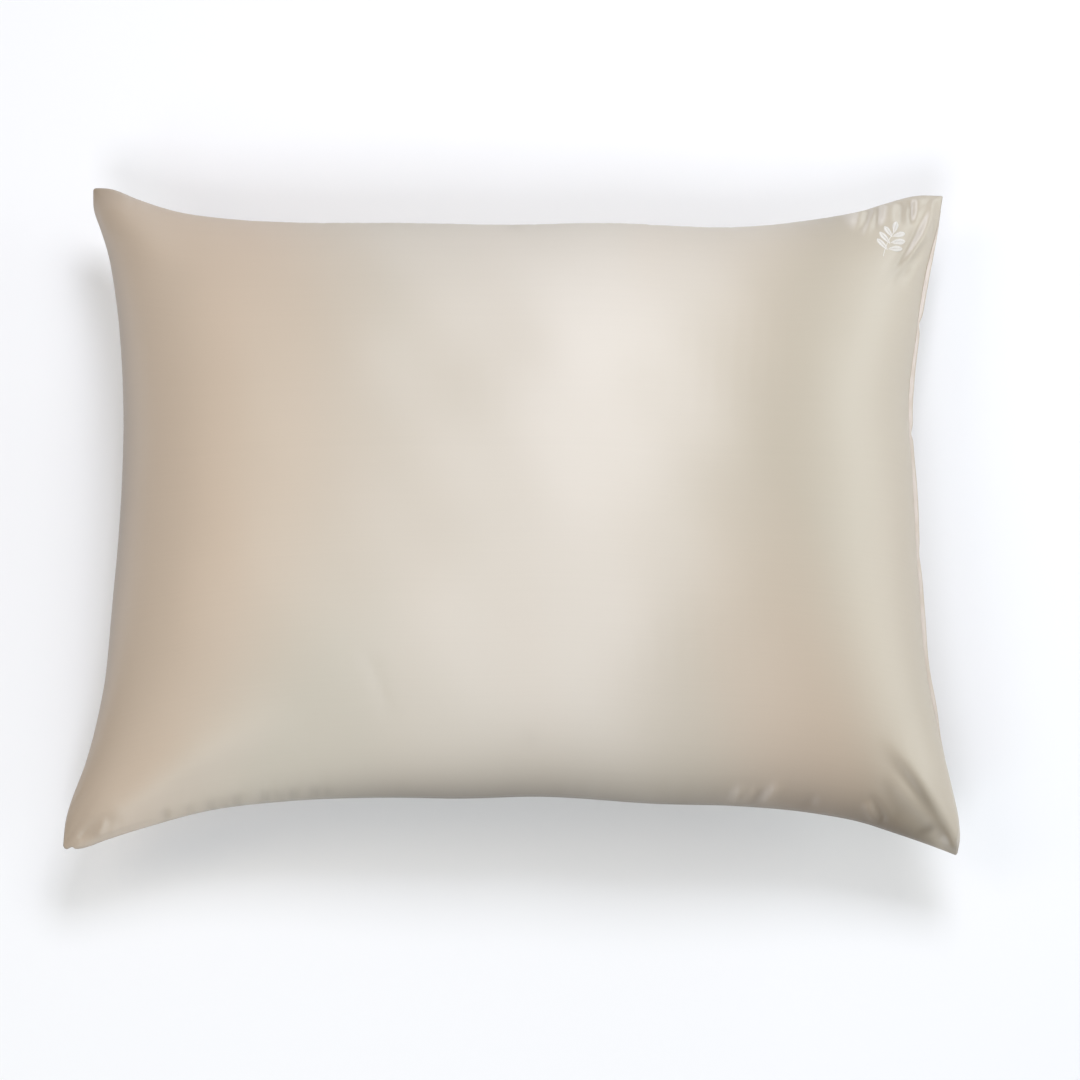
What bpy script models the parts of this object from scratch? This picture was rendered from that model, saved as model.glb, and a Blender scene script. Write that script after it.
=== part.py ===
"""A satin pillowcase on its pillow, lying on its back: one filled case and the strip that guards its opening.

Metres, +Z up. X runs along the case's long side and Y along its short side, with the opening at +X.
The origin is on the surface that the case rests on, under the middle of its bounding box.
"""

from collections import namedtuple
import math

import bpy
import bmesh
import numpy as np
from mathutils import Vector

MM = 0.001

# The size of the empty case, and the share of it that the filling takes up between the corners.
FLAT_LENGTH = 660 * MM
FLAT_WIDTH = 508 * MM
TAKE_UP = 0.018
LENGTH = FLAT_LENGTH * (1 - TAKE_UP)
WIDTH = FLAT_WIDTH * (1 - TAKE_UP)

# The filled form.
SEAM_HEIGHT = 84 * MM        # of the sewn edge at the middle of a side
CORNER_DROOP = 15 * MM       # how far the empty corners hang below that
CROWN = 97 * MM              # of the front above the seam
BELLY = 97 * MM              # of the back below the seam, before its own weight flattens it
FLAT_BLEND = 9 * MM          # height over which the back turns into its flat
RIM = 1.6 * MM               # thickness of the seam, two turned-in layers

# How full the crown stays towards each side. A larger power keeps it level for longer.
LEFT_FULLNESS = 3.3
RIGHT_FULLNESS = 2.5
SIDE_FULLNESS = 2.5
EDGE_ROUNDNESS = 0.62        # below 1, the cloth leaves the seam steeply
LEAST_RISE = 1e-9

# Corners of the sewn edge, as shifts from the plain rectangle LENGTH x WIDTH.
Corner = namedtuple("Corner", "right_mm up_mm")
BOTTOM_LEFT = Corner(0.0, 3.0)
BOTTOM_RIGHT = Corner(-2.0, 0.0)
TOP_LEFT = Corner(6.0, 0.0)
TOP_RIGHT = Corner(0.0, -5.5)

# How far each side is drawn in from the straight line between its corners.
# Left and right run from bottom to top, and bottom and top run from left to right.
Drawn = namedtuple("Drawn", "along in_mm")
LEFT_SIDE = [
    Drawn(0.00, 0.0), Drawn(0.04, 2.0), Drawn(0.13, 16.5), Drawn(0.22, 26.0), Drawn(0.36, 30.5),
    Drawn(0.52, 34.5), Drawn(0.70, 30.5), Drawn(0.81, 23.0), Drawn(0.90, 13.0), Drawn(0.93, 6.5),
    Drawn(0.96, 1.5), Drawn(1.00, 0.0),
]
RIGHT_SIDE = [
    Drawn(0.00, 0.0), Drawn(0.05, 0.0), Drawn(0.10, 5.5), Drawn(0.18, 14.5), Drawn(0.27, 22.5),
    Drawn(0.40, 26.5), Drawn(0.55, 29.0), Drawn(0.67, 30.5), Drawn(0.77, 24.5), Drawn(0.87, 14.5),
    Drawn(0.95, 5.0), Drawn(1.00, 0.0),
]
BOTTOM_SIDE = [
    Drawn(0.00, 0.0), Drawn(0.04, 3.5), Drawn(0.10, 16.5), Drawn(0.16, 27.0), Drawn(0.25, 34.5),
    Drawn(0.36, 37.5), Drawn(0.45, 37.0), Drawn(0.53, 38.5), Drawn(0.67, 33.5), Drawn(0.75, 32.5),
    Drawn(0.85, 25.5), Drawn(0.93, 12.0), Drawn(0.98, 0.5), Drawn(1.00, 0.0),
]
TOP_SIDE = [
    Drawn(0.00, 0.0), Drawn(0.05, 8.0), Drawn(0.10, 19.5), Drawn(0.15, 25.5), Drawn(0.22, 29.5),
    Drawn(0.36, 30.0), Drawn(0.50, 31.5), Drawn(0.60, 28.5), Drawn(0.76, 29.5), Drawn(0.87, 19.5),
    Drawn(0.93, 7.5), Drawn(0.97, 0.0), Drawn(1.00, 0.0),
]

# The main folds of the front, each a soft ridge or, where its height is negative, a trough.
# A fold runs from one point to another and bows to its left by bow_mm.
Fold = namedtuple("Fold", "x0_mm y0_mm x1_mm y1_mm bow_mm half_width_mm height_mm")
FRONT_FOLDS = [
    Fold(318, -244, 268, -166, -2, 8, 5.0),       # ridge into the lower right corner
    Fold(309, -233, 268, -180, 2, 7, -4.0),       # trough inside it
    Fold(302, -234, 260, -200, 3, 6, 2.5),        # low ridge inside that
    Fold(-318, -244, -200, -165, 4, 14, 4.0),     # ridge into the lower left corner
    Fold(-314, 244, -240, 170, -4, 14, 3.0),      # ridge into the upper left corner
    Fold(318, 238, 275, 160, 5, 8, 4.0),          # ridge down from the upper right corner
    Fold(302, 186, 280, 150, 4, 8, -4.0),         # trough beside it
    Fold(264, 230, 255, 204, 2, 5, 2.5),          # gathers under the top seam
    Fold(276, 234, 270, 210, 2, 5, -2.5),
    Fold(288, 236, 276, 214, 2, 5, 2.0),
    Fold(298, 238, 288, 216, 2, 5, -2.0),
    Fold(308, 240, 302, 216, 2, 5, 2.0),
]
FADE_AT_RIM = 10 * MM        # folds die out over this distance from the seam

# The guard strip of the opening, which peeps out past the right side's folded edge.
GUARD_FROM = 0.14            # along the right side, from its bottom corner
GUARD_TO = 0.975
GUARD_REACH = 3.6 * MM       # past the case's edge
GUARD_THICKNESS = 1.2 * MM
GUARD_DROP = 0.1 * MM        # of its middle below the seam's middle
GUARD_WAVES = 5              # slack waves in its outer edge
GUARD_WAVE_DEPTH = 0.8 * MM
PIECE_GAP = 0.3 * MM

# Fineness of the faces.
CELLS_LONG = 56
CELLS_SHORT = 44
EDGE_CROWDING = 0.55         # 0 spaces the rows evenly and 1 crowds them at the seam
GUARD_CELLS = 44

SATIN_COLOUR = (0.62, 0.53, 0.42, 1.0)
SATIN_ROUGHNESS = 0.38
GUARD_COLOUR = (0.66, 0.58, 0.47, 1.0)
GUARD_ROUGHNESS = 0.45


def clear_scene():
    for old in list(bpy.data.objects):
        bpy.data.objects.remove(old)


def satin(name, colour, roughness):
    made = bpy.data.materials.new(name)
    made.use_nodes = True
    shader = made.node_tree.nodes["Principled BSDF"]
    shader.inputs["Base Color"].default_value = colour
    shader.inputs["Roughness"].default_value = roughness
    shader.inputs["Metallic"].default_value = 0.0
    return made


def smooth_through(knots, values, at):
    """A smooth curve through the knots: cubic pieces whose slopes come from each knot's neighbours."""
    knots = np.asarray(knots, float)
    values = np.asarray(values, float)
    at = np.clip(np.asarray(at, float), knots[0], knots[-1])
    slopes = np.gradient(values, knots)
    piece = np.clip(np.searchsorted(knots, at, side="right") - 1, 0, len(knots) - 2)
    span = knots[piece + 1] - knots[piece]
    f = (at - knots[piece]) / span
    start = (2 * f**3 - 3 * f**2 + 1) * values[piece] + (f**3 - 2 * f**2 + f) * span * slopes[piece]
    end = (3 * f**2 - 2 * f**3) * values[piece + 1] + (f**3 - f**2) * span * slopes[piece + 1]
    return start + end


def smooth_step(value):
    clipped = np.clip(value, 0.0, 1.0)
    return clipped * clipped * (3 - 2 * clipped)


def drawn_in(side, along):
    return smooth_through([row.along for row in side], [row.in_mm for row in side], along) * MM


def corner_point(corner, sign_x, sign_y):
    x = sign_x * LENGTH / 2 + corner.right_mm * MM
    y = sign_y * WIDTH / 2 + corner.up_mm * MM
    return np.array([x, y])


def side_point(start, end, inward, side, along):
    """Points on one sewn side, seen from above."""
    along = np.asarray(along, float)[..., None]
    straight = start * (1 - along) + end * along
    return straight + np.array(inward, float) * drawn_in(side, along)


def right_side_point(along):
    start = corner_point(BOTTOM_RIGHT, 1, -1)
    end = corner_point(TOP_RIGHT, 1, 1)
    return side_point(start, end, (-1, 0), RIGHT_SIDE, along)


def plan_point(s, t):
    """Where cloth at shares s of the length and t of the width lies, seen from above."""
    low_left = corner_point(BOTTOM_LEFT, -1, -1)
    low_right = corner_point(BOTTOM_RIGHT, 1, -1)
    high_left = corner_point(TOP_LEFT, -1, 1)
    high_right = corner_point(TOP_RIGHT, 1, 1)
    bottom = side_point(low_left, low_right, (0, 1), BOTTOM_SIDE, s)
    top = side_point(high_left, high_right, (0, -1), TOP_SIDE, s)
    left = side_point(low_left, high_left, (1, 0), LEFT_SIDE, t)
    right = right_side_point(t)
    s = s[..., None]
    t = t[..., None]
    between_corners = (1 - s) * (1 - t) * low_left + s * (1 - t) * low_right
    between_corners = between_corners + (1 - s) * t * high_left + s * t * high_right
    return (1 - t) * bottom + t * top + (1 - s) * left + s * right - between_corners


def seam_height(s, t):
    corner = np.abs(2 * s - 1) ** 4 * np.abs(2 * t - 1) ** 4
    return SEAM_HEIGHT - CORNER_DROOP * corner


def swell(s, t):
    """How far the cloth stands off the seam's level, from 0 at the seam to 1 at the crown."""
    u = 2 * s - 1
    v = 2 * t - 1
    power = np.where(u < 0, LEFT_FULLNESS, RIGHT_FULLNESS)
    along = np.maximum(1 - np.abs(u) ** power, LEAST_RISE) ** EDGE_ROUNDNESS
    across = np.maximum(1 - np.abs(v) ** SIDE_FULLNESS, LEAST_RISE) ** EDGE_ROUNDNESS
    return along * across


def fold_height(x, y, fold):
    """The height that one fold adds at plan points x, y."""
    start = np.array([fold.x0_mm, fold.y0_mm]) * MM
    end = np.array([fold.x1_mm, fold.y1_mm]) * MM
    run = end - start
    length = np.hypot(*run)
    ahead = run / length
    left = np.array([-ahead[1], ahead[0]])
    along = ((x - start[0]) * ahead[0] + (y - start[1]) * ahead[1]) / length
    bow = fold.bow_mm * MM * 4 * along * (1 - along)
    off = (x - start[0]) * left[0] + (y - start[1]) * left[1] - bow
    taper = smooth_step(along / 0.25) * smooth_step((1 - along) / 0.45)
    return fold.height_mm * MM * taper * np.exp(-((off / (fold.half_width_mm * MM)) ** 2))


def on_the_surface(height):
    """The height of the back once its own weight has pressed it flat at zero."""
    eased = (height + FLAT_BLEND) ** 2 / (4 * FLAT_BLEND)
    return np.where(height > FLAT_BLEND, height, np.where(height < -FLAT_BLEND, 0.0, eased))


def spaced(cells):
    """Row places from 0 to 1, closer together near the ends."""
    even = np.linspace(0, 1, cells + 1)
    crowded = (1 - np.cos(math.pi * even)) / 2
    return even * (1 - EDGE_CROWDING) + crowded * EDGE_CROWDING


def panel_points(s, t, is_front):
    plan = plan_point(s, t)
    x = plan[..., 0]
    y = plan[..., 1]
    seam = seam_height(s, t)
    if not is_front:
        return x, y, on_the_surface(seam - RIM / 2 - BELLY * swell(s, t))
    from_rim = np.minimum(np.minimum(s, 1 - s) * LENGTH, np.minimum(t, 1 - t) * WIDTH)
    folds = sum(fold_height(x, y, fold) for fold in FRONT_FOLDS)
    return x, y, seam + RIM / 2 + CROWN * swell(s, t) + folds * smooth_step(from_rim / FADE_AT_RIM)


def panel(bm, is_front):
    """One sewn panel as a grid of faces. Returns the edges round its rim."""
    made = bmesh.ops.create_grid(bm, x_segments=CELLS_LONG, y_segments=CELLS_SHORT, size=0.5)
    verts = made["verts"]
    long_places = spaced(CELLS_LONG)
    short_places = spaced(CELLS_SHORT)
    column = [round((v.co.x + 0.5) * CELLS_LONG) for v in verts]
    row = [round((v.co.y + 0.5) * CELLS_SHORT) for v in verts]
    x, y, z = panel_points(long_places[column], short_places[row], is_front)
    for v, *place in zip(verts, x, y, z):
        v.co = Vector(place)
    if not is_front:
        bmesh.ops.reverse_faces(bm, faces=list({face for v in verts for face in v.link_faces}))
    return [e for e in {e for v in verts for e in v.link_edges} if e.is_boundary]


def filled_case():
    bm = bmesh.new()
    rims = panel(bm, True) + panel(bm, False)
    bmesh.ops.bridge_loops(bm, edges=rims)
    bmesh.ops.recalc_face_normals(bm, faces=bm.faces)
    return bm


def guard_strip():
    """The strip along the right side: a ribbon beside the seam, as thick as GUARD_THICKNESS."""
    bm = bmesh.new()
    made = bmesh.ops.create_grid(bm, x_segments=1, y_segments=GUARD_CELLS, size=0.5)
    for v in made["verts"]:
        place = v.co.y + 0.5
        along = GUARD_FROM + (GUARD_TO - GUARD_FROM) * place
        edge = right_side_point(along)
        wave = GUARD_WAVE_DEPTH * math.sin(2 * math.pi * GUARD_WAVES * place)
        taper = float(smooth_step(place / 0.12) * smooth_step((1 - place) / 0.12))
        out = PIECE_GAP + (v.co.x + 0.5) * (GUARD_REACH * (0.35 + 0.65 * taper) + wave * taper)
        height = float(seam_height(np.array(1.0), np.array(along))) - GUARD_DROP
        v.co = Vector((edge[0] + out, edge[1], height - GUARD_THICKNESS / 2))
    bm.normal_update()
    grown = bmesh.ops.extrude_face_region(bm, geom=bm.faces[:])
    lifted = [g for g in grown["geom"] if isinstance(g, bmesh.types.BMVert)]
    bmesh.ops.translate(bm, verts=lifted, vec=(0, 0, GUARD_THICKNESS))
    bmesh.ops.recalc_face_normals(bm, faces=bm.faces)
    return bm


def place_piece(name, bm, material):
    mesh = bpy.data.meshes.new(name)
    bm.to_mesh(mesh)
    bm.free()
    mesh.materials.append(material)
    mesh.shade_smooth()
    made = bpy.data.objects.new(name, mesh)
    bpy.context.scene.collection.objects.link(made)
    return made


def main():
    clear_scene()
    place_piece("filled_case", filled_case(), satin("champagne_satin", SATIN_COLOUR, SATIN_ROUGHNESS))
    place_piece("guard_strip", guard_strip(), satin("guard_satin", GUARD_COLOUR, GUARD_ROUGHNESS))


main()
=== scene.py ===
"""A champagne satin pillowcase on its pillow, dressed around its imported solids.

Metres, +Z up. X runs along the case towards its opening and Y across it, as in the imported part. Places on the
case are often given as shares: s from 0 at the left end to 1 at the opening, t from 0 at the bottom side to 1
at the top side.
"""

from collections import namedtuple
import math

import bmesh
import bpy
import numpy as np
from mathutils import Matrix, Vector
from mathutils.bvhtree import BVHTree


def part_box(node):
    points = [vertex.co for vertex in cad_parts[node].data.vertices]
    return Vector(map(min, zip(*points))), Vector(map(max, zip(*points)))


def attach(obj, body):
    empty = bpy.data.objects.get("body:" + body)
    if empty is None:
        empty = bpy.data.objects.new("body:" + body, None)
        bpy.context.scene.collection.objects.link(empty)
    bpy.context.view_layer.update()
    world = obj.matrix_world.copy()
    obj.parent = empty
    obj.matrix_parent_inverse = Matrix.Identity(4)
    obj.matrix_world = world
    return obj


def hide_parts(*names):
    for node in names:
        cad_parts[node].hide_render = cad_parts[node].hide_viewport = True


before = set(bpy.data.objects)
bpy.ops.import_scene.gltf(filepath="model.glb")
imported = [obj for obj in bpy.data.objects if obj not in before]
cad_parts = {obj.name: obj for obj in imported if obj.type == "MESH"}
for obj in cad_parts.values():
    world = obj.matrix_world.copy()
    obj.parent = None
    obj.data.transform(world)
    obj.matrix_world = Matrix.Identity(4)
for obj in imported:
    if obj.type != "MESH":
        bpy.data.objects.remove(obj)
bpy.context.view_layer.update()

MM = 0.001
_, case_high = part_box("filled_case")

# ---- The case's driving sizes ----
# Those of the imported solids, with its sides and corners followed more closely

FLAT_LENGTH = 660 * MM
FLAT_WIDTH = 508 * MM
TAKE_UP = 0.018              # how much shorter the case is once it is filled
LENGTH = FLAT_LENGTH * (1 - TAKE_UP)
WIDTH = FLAT_WIDTH * (1 - TAKE_UP)

SEAM_HEIGHT = 84 * MM
CORNER_DROOP = 15 * MM
DROOP_SHARPNESS = 4          # how close to its corners the seam droops
RIM = 1.6 * MM               # the seam's thickness
CROWN = case_high[2] - SEAM_HEIGHT - RIM / 2
BELLY = 97 * MM
FLAT_BLEND = 9 * MM          # over which the back eases into the flat it lies on

# How full the form stays towards its sides, and how roundly it falls off to the seam.
LEFT_FULLNESS = 3.3
FULLNESS = 2.5               # towards the other three sides
BOTTOM_ROUNDNESS = 0.48
ROUNDNESS = 0.58             # at the other three sides
LEAST_RISE = 1e-9            # at the seam itself
LEAST_LENGTH = 1e-12         # of a vector before it is divided by its length

# Each corner is an ear with little filling in it: how much flatter it is, and how far that reaches.
Ear = namedtuple("Ear", "s t flatter along_mm across_mm")
EARS = [Ear(0, 0, 0.56, 230, 110), Ear(1, 0, 0.15, 60, 60), Ear(0, 1, 0.20, 80, 70), Ear(1, 1, 0.25, 90, 80)]

Corner = namedtuple("Corner", "right_mm up_mm")
BOTTOM_LEFT = Corner(0.0, 2.3)
BOTTOM_RIGHT = Corner(-3.2, -1.8)
TOP_LEFT = Corner(5.2, 1.6)
TOP_RIGHT = Corner(1.5, -4.8)

# The turned corners aren't quite sharp.
Rounding = namedtuple("Rounding", "s t radius_mm")
ROUNDINGS = [Rounding(0, 0, 4.0), Rounding(1, 0, 2.0), Rounding(0, 1, 2.5), Rounding(1, 1, 1.2)]

# How far each side is drawn in from the straight line between its corners.
Drawn = namedtuple("Drawn", "along in_mm")
LEFT_SIDE = [
    Drawn(0.00, 0.0), Drawn(0.04, 2.0), Drawn(0.13, 16.5), Drawn(0.22, 26.3), Drawn(0.36, 31.3),
    Drawn(0.52, 34.4), Drawn(0.70, 31.2), Drawn(0.81, 24.0), Drawn(0.90, 13.9), Drawn(0.93, 8.4),
    Drawn(0.96, 2.6), Drawn(1.00, 0.0),
]
RIGHT_SIDE = [
    Drawn(0.00, 0.0), Drawn(0.025, -2.0), Drawn(0.05, -1.1), Drawn(0.10, 4.4), Drawn(0.18, 13.9),
    Drawn(0.27, 22.0), Drawn(0.40, 26.4), Drawn(0.55, 29.4), Drawn(0.67, 31.1), Drawn(0.77, 24.7),
    Drawn(0.87, 15.9), Drawn(0.95, 5.0), Drawn(1.00, 0.0),
]
BOTTOM_SIDE = [
    Drawn(0.00, 0.0), Drawn(0.022, 1.1), Drawn(0.05, 7.2), Drawn(0.10, 17.2), Drawn(0.16, 27.5),
    Drawn(0.25, 35.0), Drawn(0.36, 38.1), Drawn(0.45, 37.8), Drawn(0.53, 39.5), Drawn(0.67, 34.7),
    Drawn(0.75, 33.8), Drawn(0.85, 28.0), Drawn(0.89, 23.3), Drawn(0.93, 15.4), Drawn(0.965, 8.1),
    Drawn(0.985, 3.6), Drawn(1.00, 0.0),
]
TOP_SIDE = [
    Drawn(0.00, 0.0), Drawn(0.02, 1.3), Drawn(0.055, 10.6), Drawn(0.10, 21.1), Drawn(0.15, 26.9),
    Drawn(0.22, 30.7), Drawn(0.36, 31.1), Drawn(0.50, 31.6), Drawn(0.60, 29.7), Drawn(0.76, 31.2),
    Drawn(0.87, 20.6), Drawn(0.90, 15.9), Drawn(0.93, 8.7), Drawn(0.97, 1.1), Drawn(1.00, 0.0),
]

# ---- Folds, dimples and gathers ----

# A fold is a ridge or, where its height is negative, a trough. It runs from one point of the plan to another
# and bows to its left by bow_mm. It falls off over left_mm on its left and right_mm on its right, so one side
# may be steep. Its edge is the power of that fall-off: 2 is soft, and nearer 1 is crisp. Its last column
# paints the cloth darker along it by that share, as painted shade, or lighter where it is negative, as a
# painted highlight.
Fold = namedtuple("Fold", "x0_mm y0_mm x1_mm y1_mm bow_mm left_mm right_mm height_mm edge deeper")
FRONT_FOLDS = [
    # lower right corner: the main ridge, painted shade along it, the valley beside it and a low ridge beyond
    Fold(329, -263, 260, -166, -1.8, 5.5, 16.0, 6.0, 1.7, 0.0),
    Fold(332, -265, 266, -176, -1.4, 5.5, 3.0, 0.0, 2.0, 0.38),
    Fold(318, -246, 260, -174, -1.4, 10.0, 5.0, -2.2, 2.0, 0.12),
    Fold(309, -238, 262, -189, 0.0, 5.0, 5.0, 2.8, 2.0, -0.26),
    Fold(282, -231, 257, -196, 0.0, 6.0, 6.0, -1.4, 2.0, 0.12),
    # the tip's panel with a painted highlight, a notch in painted shade only, and two puckers of the seam
    Fold(300, -231, 313, -255, 0.0, 3.6, 3.6, 0.4, 2.0, -0.28),
    Fold(303, -231, 287, -238, 0.0, 3.0, 3.4, 0.0, 2.0, 0.36),
    Fold(251, -213, 263, -233, 0.0, 3.4, 3.4, 1.5, 2.0, -0.30),
    Fold(268, -232, 251, -206, 0.0, 3.4, 3.4, -1.6, 2.0, 0.20),
    # lower left corner
    Fold(-321, -246, -150, -150, 5.0, 18.0, 14.0, 3.2, 2.0, 0.0),
    Fold(-299, -238, -288, -224, 0.0, 2.8, 2.8, 1.2, 1.8, 0.0),
    Fold(-312, -243, -276, -222, 2.0, 5.0, 5.0, -1.0, 2.0, 0.08),
    # upper left corner
    Fold(-314, 246, -240, 170, -4.0, 14.0, 14.0, 2.4, 2.0, 0.0),
    # upper right corner: the long ridge beside the sprig, with a trough on either side of it
    Fold(318, 246, 268, 155, 7.8, 4.5, 4.5, 3.8, 1.8, -0.06),
    Fold(315, 243, 268, 160, 5.2, 3.0, 4.0, -2.4, 1.8, 0.18),
    Fold(310, 206, 275, 161, 1.2, 4.0, 4.0, -3.4, 2.0, 0.18),
    Fold(309, 204, 288, 158, 0.0, 6.0, 6.0, 1.6, 2.0, -0.07),
    # the puckers between it and the top side, from left to right
    Fold(262, 235, 257, 202, 0.0, 4.2, 6.5, 1.9, 2.4, -0.26),
    Fold(270, 234, 253.5, 200, 1.0, 3.0, 2.6, -1.7, 2.0, 0.16),
    Fold(271.5, 235, 259.5, 197, 0.5, 2.4, 2.8, 1.2, 2.0, -0.05),
    Fold(276, 235, 268.5, 207, 0.5, 2.8, 2.8, -1.4, 2.0, 0.15),
    Fold(283, 238, 278, 208, 0.0, 7.0, 6.0, 1.4, 3.0, -0.26),
    Fold(294, 240, 287, 212, 0.3, 4.5, 3.5, -1.3, 2.0, 0.14),
    Fold(300.5, 241, 296.5, 212, 0.3, 2.2, 2.6, -1.6, 2.0, 0.20),
    Fold(307, 244, 302, 208, 0.5, 5.5, 5.0, 1.5, 3.0, -0.28),
    # the line of the hem inside the opening
    Fold(320.5, 236, 312, 176, -1.5, 1.6, 1.6, -0.5, 2.0, 0.05),
    # slanted folds of the bottom side, and a faint crease above it
    Fold(155, -219, 165, -202, 0.0, 2.8, 2.8, 2.0, 1.8, -0.20),
    Fold(164, -219, 173, -203, 0.0, 2.4, 2.4, 1.8, 1.8, -0.20),
    Fold(171, -219, 181, -203, 0.0, 2.6, 2.6, -1.0, 2.0, 0.12),
    Fold(178, -218, 192, -200, 0.0, 4.0, 4.0, 1.6, 1.8, -0.12),
    Fold(205, -222, 216, -208, 0.0, 4.0, 4.0, -1.2, 1.8, 0.08),
    Fold(-104, -108, -80, -172, 2.0, 5.0, 5.0, -0.25, 1.8, 0.01),
]

FOLD_RISES_OVER = 0.25       # of its length, at its start
FOLD_FADES_OVER = 0.45       # and at its end

# A dimple is a round dip where a stitch holds the cloth back.
Dimple = namedtuple("Dimple", "x_mm y_mm half_width_mm depth_mm")
FRONT_DIMPLES = [
    Dimple(-247.8, -223.6, 3.6, 1.0),
    Dimple(-231.0, -219.8, 3.2, 0.8),
    Dimple(-215.1, -217.4, 3.8, 1.2),
    Dimple(-205.5, -215.6, 3.0, 0.9),
    Dimple(-196.7, -213.8, 4.0, 1.3),
    Dimple(-176.3, -211.6, 3.8, 1.2),
    Dimple(-166.0, -210.2, 3.0, 0.8),
    Dimple(-156.0, -209.4, 3.4, 1.1),
    Dimple(-140.4, -208.0, 3.8, 1.2),
    Dimple(-130.6, -207.8, 3.0, 0.9),
    Dimple(0.2, 210.0, 6.0, 0.5),
    Dimple(14.0, -174.5, 7.0, 0.2),
]
PAINTED_SHADE_PER_MM = 0.20         # painted shade: how much darker the colour is in a dimple, per mm of its depth

# How strongly the stitches gather the cloth, along each side.
Gather = namedtuple("Gather", "along height_mm")
LEFT_GATHERS = [Gather(0.0, 0.2), Gather(0.3, 0.4), Gather(0.6, 0.35), Gather(0.9, 0.4), Gather(1.0, 0.2)]
RIGHT_GATHERS = [Gather(0.0, 0.2), Gather(0.3, 0.4), Gather(0.62, 0.6), Gather(0.8, 0.6), Gather(1.0, 0.2)]
BOTTOM_GATHERS = [Gather(0.0, 0.2), Gather(0.2, 0.9), Gather(0.5, 0.7), Gather(0.75, 0.9), Gather(1.0, 0.3)]
TOP_GATHERS = [Gather(0.0, 0.2), Gather(0.2, 0.5), Gather(0.5, 0.5), Gather(0.8, 0.6), Gather(1.0, 0.2)]
GATHER_PITCH = 12 * MM
GATHER_REACH = 4.5 * MM      # from the seam to where the gathers stand highest
GATHER_SHARPNESS = 0.6       # of the dips between them
GATHER_MEAN = 0.76           # what the wave averages, taken off it
GATHER_WANDER = (0.36, 0.13)     # how far two waves push them along, in gathers
WANDER_OVER = (5.3, 1.9)         # how long those waves are, in gathers
GATHER_STEADY = 0.6          # the share of their height that doesn't vary
VARIES_OVER = (3.7, 8.9)     # in gathers
SIDE_STARTS = (0.0, 1.7, 3.1, 4.9)       # the left, right, bottom and top gathers differ
BACK_START = 0.8             # and so do the back's

# The filling lies a little unevenly: long waves, each across a heading, with its own length.
Lump = namedtuple("Lump", "heading_deg length_mm start height_mm")
LUMPS = [
    Lump(12, 173, 0.4, 0.30),
    Lump(71, 131, 2.1, 0.28),
    Lump(118, 97, 4.4, 0.20),
    Lump(160, 149, 1.2, 0.25),
    Lump(35, 67, 5.3, 0.10),
]
FADE_AT_RIM = 6 * MM         # over which folds and dimples fade out towards the seam

# Painted shade where the cloth turns under at the seams: the colour is darker by depth from each side
# inwards, over reach_mm.
Shade = namedtuple("Shade", "along depth reach_mm")
LEFT_SHADE = [Shade(0.0, 0.34, 16), Shade(0.5, 0.78, 20), Shade(1.0, 0.48, 16)]
RIGHT_SHADE = [Shade(0.0, 0.02, 10), Shade(0.5, 0.08, 12), Shade(1.0, 0.02, 10)]
BOTTOM_SHADE = [
    Shade(0.0, 0.00, 10), Shade(0.1, 0.00, 10), Shade(0.2, 0.20, 8), Shade(0.35, 0.74, 11),
    Shade(0.55, 0.80, 12), Shade(0.7, 0.72, 13), Shade(0.85, 0.78, 22), Shade(0.95, 0.80, 20),
    Shade(1.0, 0.12, 10),
]
TOP_SHADE = [
    Shade(0.0, 0.12, 12), Shade(0.5, 0.08, 10), Shade(0.78, 0.08, 14), Shade(0.87, 0.22, 28),
    Shade(0.93, 0.06, 12), Shade(1.0, 0.04, 10),
]

# The seam, seen from the side, is a narrow groove between the two panels.
GROOVE_DEPTH = 1.3 * MM
GROOVE_LOOPS = 3
SEAM_SWAY = 0.5 * MM         # up and down
SWAY_REACH = 8 * MM
SWAY_TURNS = (41, 29)        # in radians along the case and across it

# The very tip of the lower left corner is tucked in between two small lobes.
TUCK_PLACE = (-318.0 * MM, -248.0 * MM)
TUCK_HALF_WIDTH = 2.2 * MM
TUCK_IN = 2.4 * MM
TUCK_TOWARDS = (0.35, 0.94)

# Fineness: the settled cloth's rows, and how many times finer the finished cloth is
CELLS_LONG = 112
CELLS_SHORT = 88
FINER = 2
EDGE_CROWDING = 0.72         # how much closer together the rows lie near the seams

# Settling the cloth: how long and how hard the filling pushes, and how far it may move the cloth
SETTLE_FRAMES = 16
SETTLE_PRESSURE = 3.0
SETTLE_LIMIT = 6 * MM
HELD_BELOW = 1.0 * MM        # the back is held where it lies on the surface


# ---- The filled form ----

def smooth_through(knots, values, at):
    """A smooth curve through the knots: cubic pieces whose slopes come from each knot's neighbours."""
    knots = np.asarray(knots, float)
    values = np.asarray(values, float)
    at = np.clip(np.asarray(at, float), knots[0], knots[-1])
    slopes = np.gradient(values, knots)
    piece = np.clip(np.searchsorted(knots, at, side="right") - 1, 0, len(knots) - 2)
    span = knots[piece + 1] - knots[piece]
    f = (at - knots[piece]) / span
    start = (2 * f**3 - 3 * f**2 + 1) * values[piece] + (f**3 - 2 * f**2 + f) * span * slopes[piece]
    end = (3 * f**2 - 2 * f**3) * values[piece + 1] + (f**3 - f**2) * span * slopes[piece + 1]
    return start + end


def smooth_step(value):
    clipped = np.clip(value, 0.0, 1.0)
    return clipped * clipped * (3 - 2 * clipped)


def drawn_in(side, along):
    return smooth_through([row.along for row in side], [row.in_mm for row in side], along) * MM


def corner_point(corner, sign_x, sign_y):
    x = sign_x * LENGTH / 2 + corner.right_mm * MM
    y = sign_y * WIDTH / 2 + corner.up_mm * MM
    return np.array([x, y])


def side_point(start, end, inward, side, along):
    """Points on one sewn side, seen from above."""
    along = np.asarray(along, float)[..., None]
    straight = start * (1 - along) + end * along
    return straight + np.array(inward, float) * drawn_in(side, along)


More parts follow.
